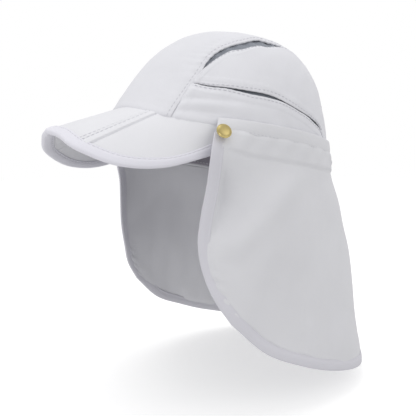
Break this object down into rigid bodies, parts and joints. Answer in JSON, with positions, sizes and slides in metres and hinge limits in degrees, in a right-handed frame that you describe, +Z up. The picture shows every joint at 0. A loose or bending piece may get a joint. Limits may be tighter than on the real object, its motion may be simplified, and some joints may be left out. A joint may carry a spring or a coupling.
{
  "type": "legionnaire cap with folding brim and neck flap",
  "caption": "White lightweight cloth cap with a folding brim, mesh-lined vents at the sides and a long neck flap held on by brass snaps.",
  "frame": {"origin": "middle of the crown's rim, where the cap sits on the head", "axes": "+Z up the head, the wearer faces -Y, the wearer's left is +X"},
  "size_m": [0.1946, 0.296, 0.2926],
  "materials": {
    "crown_cloth": "thin crisp woven cloth, white, matt",
    "brim_cloth": "woven cloth over a thin stiff board, white, matt",
    "binding_cloth": "folded woven binding, white, matt",
    "flap_cloth": "thin woven cloth, white, matt",
    "hem_cloth": "folded woven hem, white, matt",
    "sweatband_cloth": "soft band, grey, matt",
    "grey_mesh": "fine open mesh, dark grey, matt",
    "snap_brass": "satin brass"
  },
  "bodies": {
    "root": {"brim_centre_leaf": "brim_cloth", "brim_edge_binding": "binding_cloth", "brim_left_leaf": "brim_cloth", "brim_right_leaf": "brim_cloth", "crown_centre_panel": "crown_cloth", "flap_edge_hem": "hem_cloth", "flap_top_band": "flap_cloth", "mesh_lining_left": "grey_mesh", "mesh_lining_right": "grey_mesh", "neck_flap": "flap_cloth", "side_lower_panel_left": "crown_cloth", "side_lower_panel_right": "crown_cloth", "side_upper_panel_left": "crown_cloth", "side_upper_panel_right": "crown_cloth", "snap_left": "snap_brass", "snap_right": "snap_brass", "sweatband": "sweatband_cloth"}
  },
  "joints": []
}
